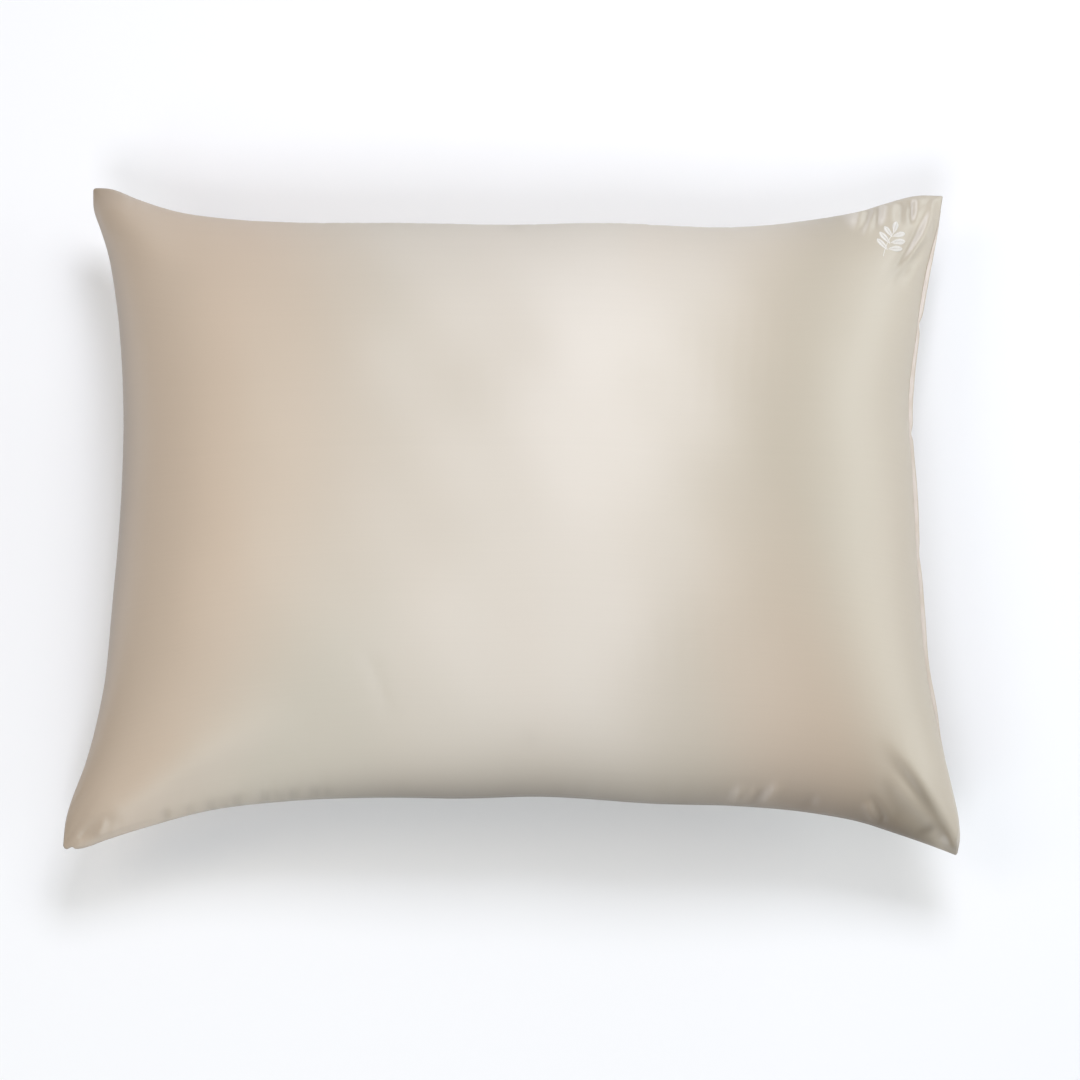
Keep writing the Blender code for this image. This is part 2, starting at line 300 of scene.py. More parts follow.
def right_side_point(along):
    start = corner_point(BOTTOM_RIGHT, 1, -1)
    end = corner_point(TOP_RIGHT, 1, 1)
    return side_point(start, end, (-1, 0), RIGHT_SIDE, along)


def plan_point(s, t):
    """Where cloth at shares s of the length and t of the width lies, seen from above."""
    low_left = corner_point(BOTTOM_LEFT, -1, -1)
    low_right = corner_point(BOTTOM_RIGHT, 1, -1)
    high_left = corner_point(TOP_LEFT, -1, 1)
    high_right = corner_point(TOP_RIGHT, 1, 1)
    bottom = side_point(low_left, low_right, (0, 1), BOTTOM_SIDE, s)
    top = side_point(high_left, high_right, (0, -1), TOP_SIDE, s)
    left = side_point(low_left, high_left, (1, 0), LEFT_SIDE, t)
    right = right_side_point(t)
    s = s[..., None]
    t = t[..., None]
    between_corners = (1 - s) * (1 - t) * low_left + s * (1 - t) * low_right
    between_corners = between_corners + (1 - s) * t * high_left + s * t * high_right
    plan = (1 - t) * bottom + t * top + (1 - s) * left + s * right - between_corners
    for rounding in ROUNDINGS:
        plan = plan + corner_rounding(s[..., 0], t[..., 0], rounding)
    return plan


def corner_rounding(s, t, rounding):
    """How far a corner's rounding moves cloth near it: a square there is pressed into a quarter of a disc."""
    radius = rounding.radius_mm * MM
    x = np.clip(1 - np.abs(s - rounding.s) * LENGTH / radius, 0, 1)
    y = np.clip(1 - np.abs(t - rounding.t) * WIDTH / radius, 0, 1)
    to_right = 1 - 2 * rounding.s
    to_top = 1 - 2 * rounding.t
    moved_x = (x - x * np.sqrt(1 - y * y / 2)) * radius * to_right
    moved_y = (y - y * np.sqrt(1 - x * x / 2)) * radius * to_top
    return np.stack([moved_x, moved_y], axis=-1)


def seam_height(s, t):
    corner = np.abs(2 * s - 1) ** DROOP_SHARPNESS * np.abs(2 * t - 1) ** DROOP_SHARPNESS
    return SEAM_HEIGHT - CORNER_DROOP * corner


def swell(s, t):
    """How far the cloth stands off the seam's level, from 0 at the seam to 1 at the crown."""
    u = 2 * s - 1
    v = 2 * t - 1
    fullness = np.where(u < 0, LEFT_FULLNESS, FULLNESS)
    along = np.maximum(1 - np.abs(u) ** fullness, LEAST_RISE) ** ROUNDNESS
    roundness = np.where(v < 0, BOTTOM_ROUNDNESS, ROUNDNESS)
    across = np.maximum(1 - np.abs(v) ** FULLNESS, LEAST_RISE) ** roundness
    full = along * across
    for ear in EARS:
        from_corner_x = (s - ear.s) * LENGTH / (ear.along_mm * MM)
        from_corner_y = (t - ear.t) * WIDTH / (ear.across_mm * MM)
        full = full * (1 - ear.flatter * np.exp(-(from_corner_x**2) - from_corner_y**2))
    return full


def on_the_surface(height):
    """The height of the back once its own weight has pressed it flat at zero."""
    eased = (height + FLAT_BLEND) ** 2 / (4 * FLAT_BLEND)
    return np.where(height > FLAT_BLEND, height, np.where(height < -FLAT_BLEND, 0.0, eased))


def form_points(s, t, is_front):
    """The filled form before its cloth settles, as an array of points."""
    plan = plan_point(s, t)
    seam = seam_height(s, t)
    if is_front:
        height = seam + RIM / 2 + CROWN * swell(s, t)
    else:
        height = on_the_surface(seam - RIM / 2 - BELLY * swell(s, t))
    return np.concatenate([plan, height[..., None]], axis=-1)


# ---- Relief on the form ----

def fold_profile(x, y, fold):
    """How strongly one fold shows at plan points x, y, from 0 to 1 along its middle."""
    start = np.array([fold.x0_mm, fold.y0_mm]) * MM
    end = np.array([fold.x1_mm, fold.y1_mm]) * MM
    run = end - start
    length = np.hypot(*run)
    ahead = run / length
    left = np.array([-ahead[1], ahead[0]])
    along = ((x - start[0]) * ahead[0] + (y - start[1]) * ahead[1]) / length
    bow = fold.bow_mm * MM * 4 * along * (1 - along)
    off = (x - start[0]) * left[0] + (y - start[1]) * left[1] - bow
    taper = smooth_step(along / FOLD_RISES_OVER) * smooth_step((1 - along) / FOLD_FADES_OVER)
    width = np.where(off > 0, fold.left_mm, fold.right_mm) * MM
    return taper * np.exp(-(np.abs(off / width) ** fold.edge))


def dimple_profile(x, y, dimple):
    away = np.hypot(x - dimple.x_mm * MM, y - dimple.y_mm * MM) / (dimple.half_width_mm * MM)
    return np.exp(-(away**2))


def shaped_height(x, y):
    """How far the folds and dimples together stand off the front at plan points x, y."""
    height = sum(fold.height_mm * fold_profile(x, y, fold) for fold in FRONT_FOLDS)
    return (height - sum(dimple.depth_mm * dimple_profile(x, y, dimple) for dimple in FRONT_DIMPLES)) * MM


def shaped_shade(x, y):
    """Painted shade and highlights in the front's folds and dimples, as a share of its colour elsewhere."""
    shade = np.ones(np.shape(x))
    for fold in FRONT_FOLDS:
        shade = shade * (1 - fold.deeper * fold_profile(x, y, fold))
    for dimple in FRONT_DIMPLES:
        shade = shade * (1 - PAINTED_SHADE_PER_MM * dimple.depth_mm * dimple_profile(x, y, dimple))
    return shade


def gather_wave(place, start):
    """Rounded gathers of uneven width with narrow dips between them, along a seam."""
    turn = place / GATHER_PITCH
    angle = 2 * math.pi * turn
    far, near = GATHER_WANDER
    far_length, near_length = WANDER_OVER
    uneven = turn + far * np.sin(angle / far_length + start) + near * np.sin(angle / near_length - start)
    short, long = VARIES_OVER
    varying = (1 - GATHER_STEADY) * np.sin(angle / short + 2 * start) * np.sin(angle / long + 1.0)
    height = np.abs(np.sin(math.pi * uneven)) ** GATHER_SHARPNESS - GATHER_MEAN
    return (GATHER_STEADY + varying) * height


def side_gathers(from_side, along, flat, rows, start):
    """Gathers at distances from_side from one sewn side, at shares along its flat length."""
    strength = smooth_through([row.along for row in rows], [row.height_mm for row in rows], along) * MM
    reach = from_side / GATHER_REACH
    return strength * gather_wave(along * flat, start) * reach * np.exp(1 - reach)


def gathers(s, t, start):
    left, right, bottom, top = (start + side for side in SIDE_STARTS)
    total = side_gathers(s * LENGTH, t, FLAT_WIDTH, LEFT_GATHERS, left)
    total = total + side_gathers((1 - s) * LENGTH, t, FLAT_WIDTH, RIGHT_GATHERS, right)
    total = total + side_gathers(t * WIDTH, s, FLAT_LENGTH, BOTTOM_GATHERS, bottom)
    return total + side_gathers((1 - t) * WIDTH, s, FLAT_LENGTH, TOP_GATHERS, top)


def from_rim(s, t):
    """How far cloth lies from the nearest side."""
    return np.minimum(np.minimum(s, 1 - s) * LENGTH, np.minimum(t, 1 - t) * WIDTH)


def lump_height(x, y, lump, start):
    heading = math.radians(lump.heading_deg)
    place = x * math.cos(heading) + y * math.sin(heading)
    return lump.height_mm * MM * np.sin(2 * math.pi * place / (lump.length_mm * MM) + lump.start + start)


def relief(s, t, points, is_front):
    """How far the finished cloth stands off the settled form, along its normal."""
    x = points[..., 0]
    y = points[..., 1]
    start = 0.0 if is_front else BACK_START
    total = gathers(s, t, start)
    total = total + sum(lump_height(x, y, lump, start) for lump in LUMPS) * swell(s, t)
    if is_front:
        return total + shaped_height(x, y) * smooth_step(from_rim(s, t) / FADE_AT_RIM)
    return total * smooth_step(points[..., 2] / FLAT_BLEND)


def side_shade(from_side, along, rows):
    knots = [row.along for row in rows]
    depth = smooth_through(knots, [row.depth for row in rows], along)
    reach = smooth_through(knots, [row.reach_mm for row in rows], along) * MM
    return 1 - depth * np.exp(-from_side / reach)


def seam_shade(s, t):
    """Painted shade towards the seams: the cloth's colour there, as a share of its colour elsewhere."""
    shade = side_shade(s * LENGTH, t, LEFT_SHADE) * side_shade((1 - s) * LENGTH, t, RIGHT_SHADE)
    return shade * side_shade(t * WIDTH, s, BOTTOM_SHADE) * side_shade((1 - t) * WIDTH, s, TOP_SHADE)


def normals(points, is_front):
    along = np.gradient(points, axis=0)
    across = np.gradient(points, axis=1)
    facing = np.cross(along, across)
    length = np.linalg.norm(facing, axis=-1, keepdims=True)
    facing = facing / np.maximum(length, LEAST_LENGTH)
    return facing if is_front else -facing


def tucked(points):
    """The same points with the lower left tip tucked in."""
    tip = np.array(TUCK_PLACE)
    away = np.linalg.norm(points[..., :2] - tip, axis=-1) / TUCK_HALF_WIDTH
    pulled = points.copy()
    pulled[..., :2] += np.array(TUCK_TOWARDS) * (TUCK_IN * np.exp(-(away**2)))[..., None]
    return pulled


def swayed(s, t, points):
    """The same points with the seam's line swaying up and down a little."""
    near = np.exp(-from_rim(s, t) / SWAY_REACH)
    angle = s * SWAY_TURNS[0] + t * SWAY_TURNS[1]
    slow_and_quick = np.sin(angle) * 0.6 + np.sin(2.3 * angle + 1.1) * 0.4
    moved = points.copy()
    moved[..., 2] += SEAM_SWAY * near * slow_and_quick
    return moved


# ---- The cloth as a mesh ----

# A vert's place is s, t and where it lies in the seam, from 0 on the front panel to 1 on the back.
Layers = namedtuple("Layers", "place shade cloth_map")
BETWEEN_PANELS = (0.01, 0.99)
BACK_ON_MAP = FLAT_WIDTH * 1.1   # where the back starts on the cloth's map


def spaced(cells):
    """Row places from 0 to 1, closer together near the ends."""
    even = np.linspace(0, 1, cells + 1)
    crowded = (1 - np.cos(math.pi * even)) / 2
    return even * (1 - EDGE_CROWDING) + crowded * EDGE_CROWDING


def grid_places(finer):
    return np.meshgrid(spaced(CELLS_LONG * finer), spaced(CELLS_SHORT * finer), indexing="ij")


def panel(bm, layers, places, points, is_front):
    """One sewn panel as a grid of faces. Returns the column and the row of each of its verts."""
    s, t = places
    columns = s.shape[0] - 1
    rows = s.shape[1] - 1
    verts = bmesh.ops.create_grid(bm, x_segments=columns, y_segments=rows, size=0.5)["verts"]
    column = np.array([round((v.co.x + 0.5) * columns) for v in verts])
    row = np.array([round((v.co.y + 0.5) * rows) for v in verts])
    below = 0.0 if is_front else 1.0
    for v, i, j in zip(verts, column, row):
        v.co = Vector(points[i, j])
        v[layers.place] = (s[i, j], t[i, j], below)
    if not is_front:
        bmesh.ops.reverse_faces(bm, faces=list({face for v in verts for face in v.link_faces}))
    return column, row


def sewn_case(places, front, back, groove_loops):
    """The two panels and the seam round them, as one closed mesh."""
    bm = bmesh.new()
    bm.verts.layers.float_vector.new("place")
    bm.verts.layers.float.new("cloth_shade")
    bm.loops.layers.uv.new("cloth")
    place = bm.verts.layers.float_vector["place"]
    shade = bm.verts.layers.float["cloth_shade"]
    layers = Layers(place, shade, bm.loops.layers.uv["cloth"])
    column, row = panel(bm, layers, places, front, True)
    panel(bm, layers, places, back, False)
    rims = [edge for edge in bm.edges if edge.is_boundary]
    seam_faces = bmesh.ops.bridge_loops(bm, edges=rims)["faces"]
    if groove_loops:
        seam_faces = sink_groove(bm, layers, seam_faces, groove_loops)
    bmesh.ops.recalc_face_normals(bm, faces=bm.faces)
    lay_cloth_map(bm, layers, set(seam_faces))
    shade_cloth(bm, layers)
    bm.verts.layers.float_vector.remove(layers.place)
    return bm, column, row


def shade_cloth(bm, layers):
    """Gives each vert its painted shade: towards the seams and, on the front, in its folds and dimples."""
    s, t, below = np.array([v[layers.place] for v in bm.verts]).T
    x, y, _ = np.array([v.co for v in bm.verts]).T
    shades = seam_shade(s, t) * (below + (1 - below) * shaped_shade(x, y))
    for v, shade in zip(bm.verts, shades):
        v[layers.shade] = shade


def sink_groove(bm, layers, seam_faces, loops):
    """Cuts loops into the seam and draws them inwards, deepest in the middle."""
    front_to_back = [
        edge for edge in {e for face in seam_faces for e in face.edges}
        if abs(edge.verts[0][layers.place].z - edge.verts[1][layers.place].z) > 0.5
    ]
    bmesh.ops.subdivide_edges(bm, edges=front_to_back, cuts=loops, use_grid_fill=True)
    lowest, highest = BETWEEN_PANELS
    between = [v for v in bm.verts if lowest < v[layers.place].z < highest]
    bm.normal_update()
    moves = []
    for v in between:
        depth = math.sin(math.pi * v[layers.place].z) * GROOVE_DEPTH
        moves.append(Vector((v.normal.x, v.normal.y, 0)).normalized() * -depth)
    for v, move in zip(between, moves):
        v.co += move
    return list({face for v in between for face in v.link_faces})


def lay_cloth_map(bm, layers, seam_faces):
    """Maps the cloth in metres along the case and across it, with the seam's turn just beyond its side."""
    for face in bm.faces:
        in_seam = face in seam_faces
        is_back = not in_seam and face.verts[0][layers.place].z > 0.5
        for loop in face.loops:
            s, t, below = loop.vert[layers.place]
            u = s * FLAT_LENGTH
            v = t * FLAT_WIDTH + (BACK_ON_MAP if is_back else 0.0)
            if in_seam:
                outward = seam_outward(face, layers)
                u += outward[0] * below * RIM
                v += outward[1] * below * RIM
            loop[layers.cloth_map].uv = (u, v)


def seam_outward(face, layers):
    middle = sum((v[layers.place] for v in face.verts), Vector()) / len(face.verts)
    distances = {(-1, 0): middle.x, (1, 0): 1 - middle.x, (0, -1): middle.y, (0, 1): 1 - middle.y}
    return min(distances, key=distances.get)


def place_piece(name, bm, material):
    mesh = bpy.data.meshes.new(name)
    bm.to_mesh(mesh)
    bm.free()
    mesh.materials.append(material)
    mesh.shade_smooth()
    made = bpy.data.objects.new(name, mesh)
    bpy.context.scene.collection.objects.link(made)
    return made


# ---- Settling the cloth on its filling ----

def settled_moves(places, front, back, material):
    """How far the filling's push moves each point of cloth that was cut flat and is held at its seam."""
    bm, column, row = sewn_case(places, front, back, 0)
    trial = place_piece("settling_cloth", bm, material)
    mesh = trial.data
    count = len(column)
    flat_x = (places[0] - 0.5) * FLAT_LENGTH
    flat_y = (places[1] - 0.5) * FLAT_WIDTH
    trial.shape_key_add(name="filled")
    cut_flat = trial.shape_key_add(name="cut_flat")
    for side, level in ((0, RIM / 2), (1, -RIM / 2)):
        for k, (i, j) in enumerate(zip(column, row)):
            cut_flat.data[side * count + k].co = (flat_x[i, j], flat_y[i, j], level)
    held = trial.vertex_groups.new(name="held")
    last_column = places[0].shape[0] - 1
    last_row = places[0].shape[1] - 1
    at_seam = (column == 0) | (column == last_column) | (row == 0) | (row == last_row)
    on_surface = back[column, row, 2] < HELD_BELOW
    held.add([int(k) for k in np.flatnonzero(at_seam)], 1.0, "REPLACE")
    held.add([int(k) + count for k in np.flatnonzero(at_seam | on_surface)], 1.0, "REPLACE")

    cloth = trial.modifiers.new("settle", "CLOTH")
    settings = cloth.settings
    settings.rest_shape_key = cut_flat
    settings.vertex_group_mass = "held"
    settings.quality = 6
    settings.mass = 0.12
    settings.tension_stiffness = 30
    settings.compression_stiffness = 30
    settings.shear_stiffness = 8
    settings.bending_stiffness = 0.6
    settings.air_damping = 4
    settings.use_pressure = True
    settings.uniform_pressure_force = SETTLE_PRESSURE
    settings.effector_weights.gravity = 0.0
    cloth.collision_settings.use_collision = False
    cloth.point_cache.frame_start = 1
    cloth.point_cache.frame_end = SETTLE_FRAMES

    before = np.empty(len(mesh.vertices) * 3)
    mesh.vertices.foreach_get("co", before)
    scene = bpy.context.scene
    for step in range(1, SETTLE_FRAMES + 1):
        scene.frame_set(step)
    settled = trial.evaluated_get(bpy.context.evaluated_depsgraph_get())
    after = np.empty(len(mesh.vertices) * 3)
    settled.data.vertices.foreach_get("co", after)
    scene.frame_set(1)
    bpy.data.objects.remove(trial)

    moves = (after - before).reshape(-1, 3)
    length = np.linalg.norm(moves, axis=1, keepdims=True)
    moves = moves * np.minimum(1.0, SETTLE_LIMIT / np.maximum(length, LEAST_LENGTH))
    on_grid = np.zeros((2,) + places[0].shape + (3,))
    on_grid[0][column, row] = moves[:count]
    on_grid[1][column, row] = moves[count:]
    return on_grid


def doubled(values):
    """Twice the rows: those given and, between each two, one on the smooth curve through its neighbours."""
    padded = np.concatenate([values[:1], values, values[-1:]])
    between = (9 * (padded[1:-2] + padded[2:-1]) - padded[:-3] - padded[3:]) / 16
    rows = np.empty((2 * len(values) - 1,) + values.shape[1:])
    rows[0::2] = values
    rows[1::2] = between
    return rows


def finer_moves(moves):
    return np.swapaxes(doubled(np.swapaxes(doubled(moves), 0, 1)), 0, 1)


def finished_points(places, is_front, moves):
    """Every point of one panel of the finished cloth."""
    s, t = places
    points = form_points(s, t, is_front) + moves
    points = points + normals(points, is_front) * relief(s, t, points, is_front)[..., None]
    points = swayed(s, t, tucked(points))
    points[..., 2] = np.maximum(points[..., 2], 0.0)
    return points


def filled_case(material):
    coarse = grid_places(1)
    moves = np.zeros((2,) + coarse[0].shape + (3,))
    moves = settled_moves(coarse, form_points(*coarse, True), form_points(*coarse, False), material)
    places = grid_places(FINER)
    front = finished_points(places, True, finer_moves(moves[0]))
    back = finished_points(places, False, finer_moves(moves[1]))
    bm, _, _ = sewn_case(places, front, back, GROOVE_LOOPS)
    case = place_piece("satin_case", bm, material)
    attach(case, "root")
    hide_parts("filled_case")
    return case


# ---- The strip that guards the opening ----

STRIP_FROM = 0.14            # along the right side
STRIP_TO = 0.975
STRIP_REACH = 3.1 * MM       # past the seam
STRIP_END_REACH = 0.12       # at its ends, as a share of that
STRIP_ENDS_OVER = 0.12       # of its length
STRIP_WAVES = 5
STRIP_WAVE_DEPTH = 0.3 * MM
STRIP_RIPPLES = 11
STRIP_RIPPLE_HEIGHT = 0.35 * MM
STRIP_TUCKED_IN = 1.2 * MM
STRIP_CLOTH = 0.24 * MM
STRIP_OPEN = 0.5 * MM        # between its two layers at the fold
STRIP_OPEN_AT_SEAM = 0.45    # as a share of that
STRIP_LAYER_SHARE = 0.42     # of the strip's width that lies in each layer, with the fold between them
STRIP_CUT_WIDTH = 10 * MM
STRIP_ROWS = 240
STRIP_TURN = 14

# Where the strip is pinched into the seam: its place along the side, its reach in mm and how deep it goes.
Pinch = namedtuple("Pinch", "along reach_mm share")
STRIP_PINCHES = [Pinch(0.790, 5.0, 0.55), Pinch(0.622, 4.0, 0.45), Pinch(0.440, 7.0, 0.3)]


def strip_section(turn, reach):
    """Across the folded strip: how far out and how high a share of its turn lies."""
    level = STRIP_OPEN / 2 + STRIP_CLOTH / 2
    fold = 1 - 2 * STRIP_LAYER_SHARE
    if STRIP_LAYER_SHARE <= turn <= 1 - STRIP_LAYER_SHARE:
        angle = math.pi * (0.5 - (turn - STRIP_LAYER_SHARE) / fold)
        return reach - level + level * math.cos(angle), level * math.sin(angle)
    share = min(turn, 1 - turn) / STRIP_LAYER_SHARE
    out = (reach - level + STRIP_TUCKED_IN) * share - STRIP_TUCKED_IN
    up = level * (STRIP_OPEN_AT_SEAM + (1 - STRIP_OPEN_AT_SEAM) * share)
    return out, up if turn < 0.5 else -up


def guard_strip(material):
    bm = bmesh.new()
    bm.verts.layers.float.new("cloth_shade")
    cloth_map = bm.loops.layers.uv.new("cloth")
    made = bmesh.ops.create_grid(bm, x_segments=STRIP_TURN, y_segments=STRIP_ROWS, size=0.5)
    length = WIDTH * (STRIP_TO - STRIP_FROM)
    for v in made["verts"]:
        turn = v.co.x + 0.5
        place = v.co.y + 0.5
        for loop in v.link_loops:
            loop[cloth_map].uv = (turn * STRIP_CUT_WIDTH, place * length)
        along = STRIP_FROM + (STRIP_TO - STRIP_FROM) * place
        edge = right_side_point(along)
        taper = float(smooth_step(place / STRIP_ENDS_OVER) * smooth_step((1 - place) / STRIP_ENDS_OVER))
        wave = STRIP_WAVE_DEPTH * math.sin(2 * math.pi * STRIP_WAVES * place)
        reach = STRIP_REACH * (STRIP_END_REACH + (1 - STRIP_END_REACH) * taper) + wave * taper
        for pinch in STRIP_PINCHES:
            away = (along - pinch.along) * WIDTH / (pinch.reach_mm * MM)
            reach *= 1 - pinch.share * math.exp(-(away**2))
        out, up = strip_section(turn, reach)
        uneven = 2 * math.sin(2 * math.pi * 3 * place)
        ripple = STRIP_RIPPLE_HEIGHT * math.sin(2 * math.pi * STRIP_RIPPLES * place + uneven)
        height = float(seam_height(np.array(1.0), np.array(along))) + ripple * max(out, 0.0) / STRIP_REACH
        v.co = Vector((edge[0] + out, edge[1], height + up))
    bmesh.ops.recalc_face_normals(bm, faces=bm.faces)
    bmesh.ops.solidify(bm, geom=bm.faces[:], thickness=STRIP_CLOTH)
    shade = bm.verts.layers.float["cloth_shade"]
    for v in bm.verts:
        v[shade] = 1.0
    bmesh.ops.recalc_face_normals(bm, faces=bm.faces)
    strip = place_piece("folded_strip", bm, material)
    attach(strip, "root")
    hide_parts("guard_strip")
    return strip


# ---- The small embroidered leaf sprig ----

SPRIG_CENTRE = (280 * MM, 200 * MM)
SPRIG_LEAN = math.radians(-20)
STITCH_THICK = 0.42 * MM
STITCH_STEP = 0.50 * MM
STITCH_LONGER = 0.3          # at each end, and the other two as shares of its thickness
STITCH_HALF_HEIGHT = 0.6
STITCH_RAISED = 0.18
LENGTHWAYS = Matrix.Rotation(math.radians(90), 4, "Y")   # turns a sphere's poles to a stitch's ends, on X

# Leaves in the sprig's own plane: where each starts, which way it points, its length and greatest width.
Leaf = namedtuple("Leaf", "x_mm y_mm heading_deg long_mm wide_mm")
SPRIG_LEAVES = [
    Leaf(0.3, -9.0, 150, 11.5, 4.8),
    Leaf(0.5, -8.0, 30, 11.5, 4.8),
    Leaf(0.6, -3.0, 147, 12.0, 5.0),
    Leaf(0.8, -2.0, 34, 12.0, 5.0),
    Leaf(0.7, 3.2, 140, 10.5, 4.6),
    Leaf(0.8, 4.0, 42, 10.5, 4.6),
    Leaf(0.6, 7.2, 92, 10.5, 4.6),
]
STEM_FROM = (-1.4, -15.5)
STEM_TO = (0.6, 7.6)
STEM_BOW_MM = 1.1
STEM_STITCHES = 20
STEM_LAP = 0.35              # of a stitch, over the next
STEM_THICKER = 1.3
LEAF_SLANT = 0.9             # how far its stitches lean ahead, as a share of its half width
LEAF_FULLEST = 0.85          # below 1, a leaf is widest nearer its start
LEAF_BLUNTNESS = 0.8


def stitch_on(bm, cloth, start, end, thick):
    """One raised stitch from one point of the plan to another, sunk at both ends into the cloth under it."""
    middle = (start + end) / 2
    hit, facing, _, _ = cloth.ray_cast(Vector((middle.x, middle.y, 1.0)), Vector((0, 0, -1)))
    run = (end - start).to_3d()
    run -= facing * run.dot(facing)
    ahead = run.normalized()
    side = facing.cross(ahead)
    turned = Matrix((ahead, side, facing)).transposed().to_4x4()
    half_long = run.length / 2 + thick * STITCH_LONGER
    stretch = Matrix.Diagonal((half_long, thick / 2, thick * STITCH_HALF_HEIGHT, 1.0))
    at = Matrix.Translation(hit + facing * thick * STITCH_RAISED)
    shape = at @ turned @ stretch @ LENGTHWAYS
    bmesh.ops.create_uvsphere(bm, u_segments=6, v_segments=6, radius=1.0, matrix=shape)


def sprig_to_plan(x_mm, y_mm):
    x = x_mm * MM * math.cos(SPRIG_LEAN) - y_mm * MM * math.sin(SPRIG_LEAN)
    y = x_mm * MM * math.sin(SPRIG_LEAN) + y_mm * MM * math.cos(SPRIG_LEAN)
    return Vector((SPRIG_CENTRE[0] + x, SPRIG_CENTRE[1] + y))


def leaf_stitches(bm, cloth, leaf):
    heading = math.radians(leaf.heading_deg)
    ahead = Vector((math.cos(heading), math.sin(heading)))
    side = Vector((-ahead.y, ahead.x))
    count = round(leaf.long_mm * MM / STITCH_STEP)
    for k in range(count):
        share = (k + 0.5) / count
        half_width = leaf.wide_mm / 2 * math.sin(math.pi * share**LEAF_FULLEST) ** LEAF_BLUNTNESS
        middle = Vector((leaf.x_mm, leaf.y_mm)) + ahead * (leaf.long_mm * share)
        for way in (-1, 1):
            tip = middle + side * (way * half_width) + ahead * (half_width * LEAF_SLANT)
            stitch_on(bm, cloth, sprig_to_plan(*middle), sprig_to_plan(*tip), STITCH_THICK)


def stem_stitches(bm, cloth):
    start = Vector(STEM_FROM)
    end = Vector(STEM_TO)
    run = end - start
    left = Vector((-run.y, run.x)).normalized()
    thick = STITCH_THICK * STEM_THICKER
    places = []
    for k in range(STEM_STITCHES + 1):
        share = k / STEM_STITCHES
        places.append(start + run * share + left * (STEM_BOW_MM * 4 * share * (1 - share)))
    for near, far in zip(places[:-1], places[1:]):
        lap = (far - near) * STEM_LAP
        stitch_on(bm, cloth, sprig_to_plan(*(near - lap)), sprig_to_plan(*(far + lap)), thick)


def leaf_sprig(case, material):
    cloth = BVHTree.FromPolygons(
        [v.co for v in case.data.vertices], [tuple(p.vertices) for p in case.data.polygons]
    )
    bm = bmesh.new()
    for leaf in SPRIG_LEAVES:
        leaf_stitches(bm, cloth, leaf)
    stem_stitches(bm, cloth)
    bmesh.ops.recalc_face_normals(bm, faces=bm.faces)
    sprig = place_piece("leaf_sprig", bm, material)
    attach(sprig, "root")
    return sprig


# ---- Materials ----

# The weave: how wide a yarn is, how long it floats, and how far each yarn's floats lag its neighbour's
YARN_PITCH = 0.30 * MM
FLOAT_LENGTH = 1.5 * MM
FLOAT_LAG = 0.4
FLOAT_FLATNESS = 0.35        # below 1, a float is level along its middle
SLUB_HEIGHT = 0.5            # as a share of a yarn's
WEAVE_DEPTH = 0.02 * MM
WEAVE_BUMP = 0.35
SATIN_IOR = 2.5
SATIN_ANISOTROPY = 0.85
SATIN_TURN = 0.25            # a quarter turn from the floats

# The warm and cool colours are partly painted shade: the cloth is warm where it turns from the light.
CASE_WARM = (0.548, 0.435, 0.324, 1.0)
CASE_COOL = (0.502, 0.435, 0.333, 1.0)
STRIP_WARM = (0.56, 0.47, 0.37, 1.0)
STRIP_COOL = (0.53, 0.47, 0.38, 1.0)
THREAD_WHITE = (0.82, 0.79, 0.74, 1.0)
# Painted shade: the base colour is multiplied by IN_SHADE where fully shaded, by OUT_OF_SHADE where not.
IN_SHADE = (0.15, 0.09, 0.0, 1.0)
OUT_OF_SHADE = (1.0, 1.0, 1.0, 1.0)

# Places on the cloth's map for a hue that is partly painted shade, warm where the cloth turns from the light.
# The warm colour turns cool along the case, sooner near the bottom side ...
WARM_UNTIL = 90 * MM
COOL_FROM = 250 * MM
SHORTER_BELOW = 190 * MM
WARM_SHORTER_BY = 75 * MM
# ... and warm again low down on the right, where the cloth turns from the light.
WARM_AGAIN_AT = 548 * MM
WARM_AGAIN_REACH = 105 * MM
WARM_AGAIN_BELOW = 330 * MM
HUE_SWING = 0.9              # how unevenly it does so


class Wiring:
    """Adds nodes to a node tree in short lines."""

    def __init__(self, tree):
        self.tree = tree

    def node(self, kind, inputs=None, **settings):
        made = self.tree.nodes.new(kind)
        for name, value in settings.items():
            setattr(made, name, value)
        for name, value in (inputs or {}).items():
            self.feed(made.inputs[name], value)
        return made

    def feed(self, socket, value):
        if isinstance(value, bpy.types.NodeSocket):
            self.tree.links.new(value, socket)
        else:
            socket.default_value = value

    def math(self, operation, first, second=0.0):
        return self.node("ShaderNodeMath", {0: first, 1: second}, operation=operation).outputs[0]


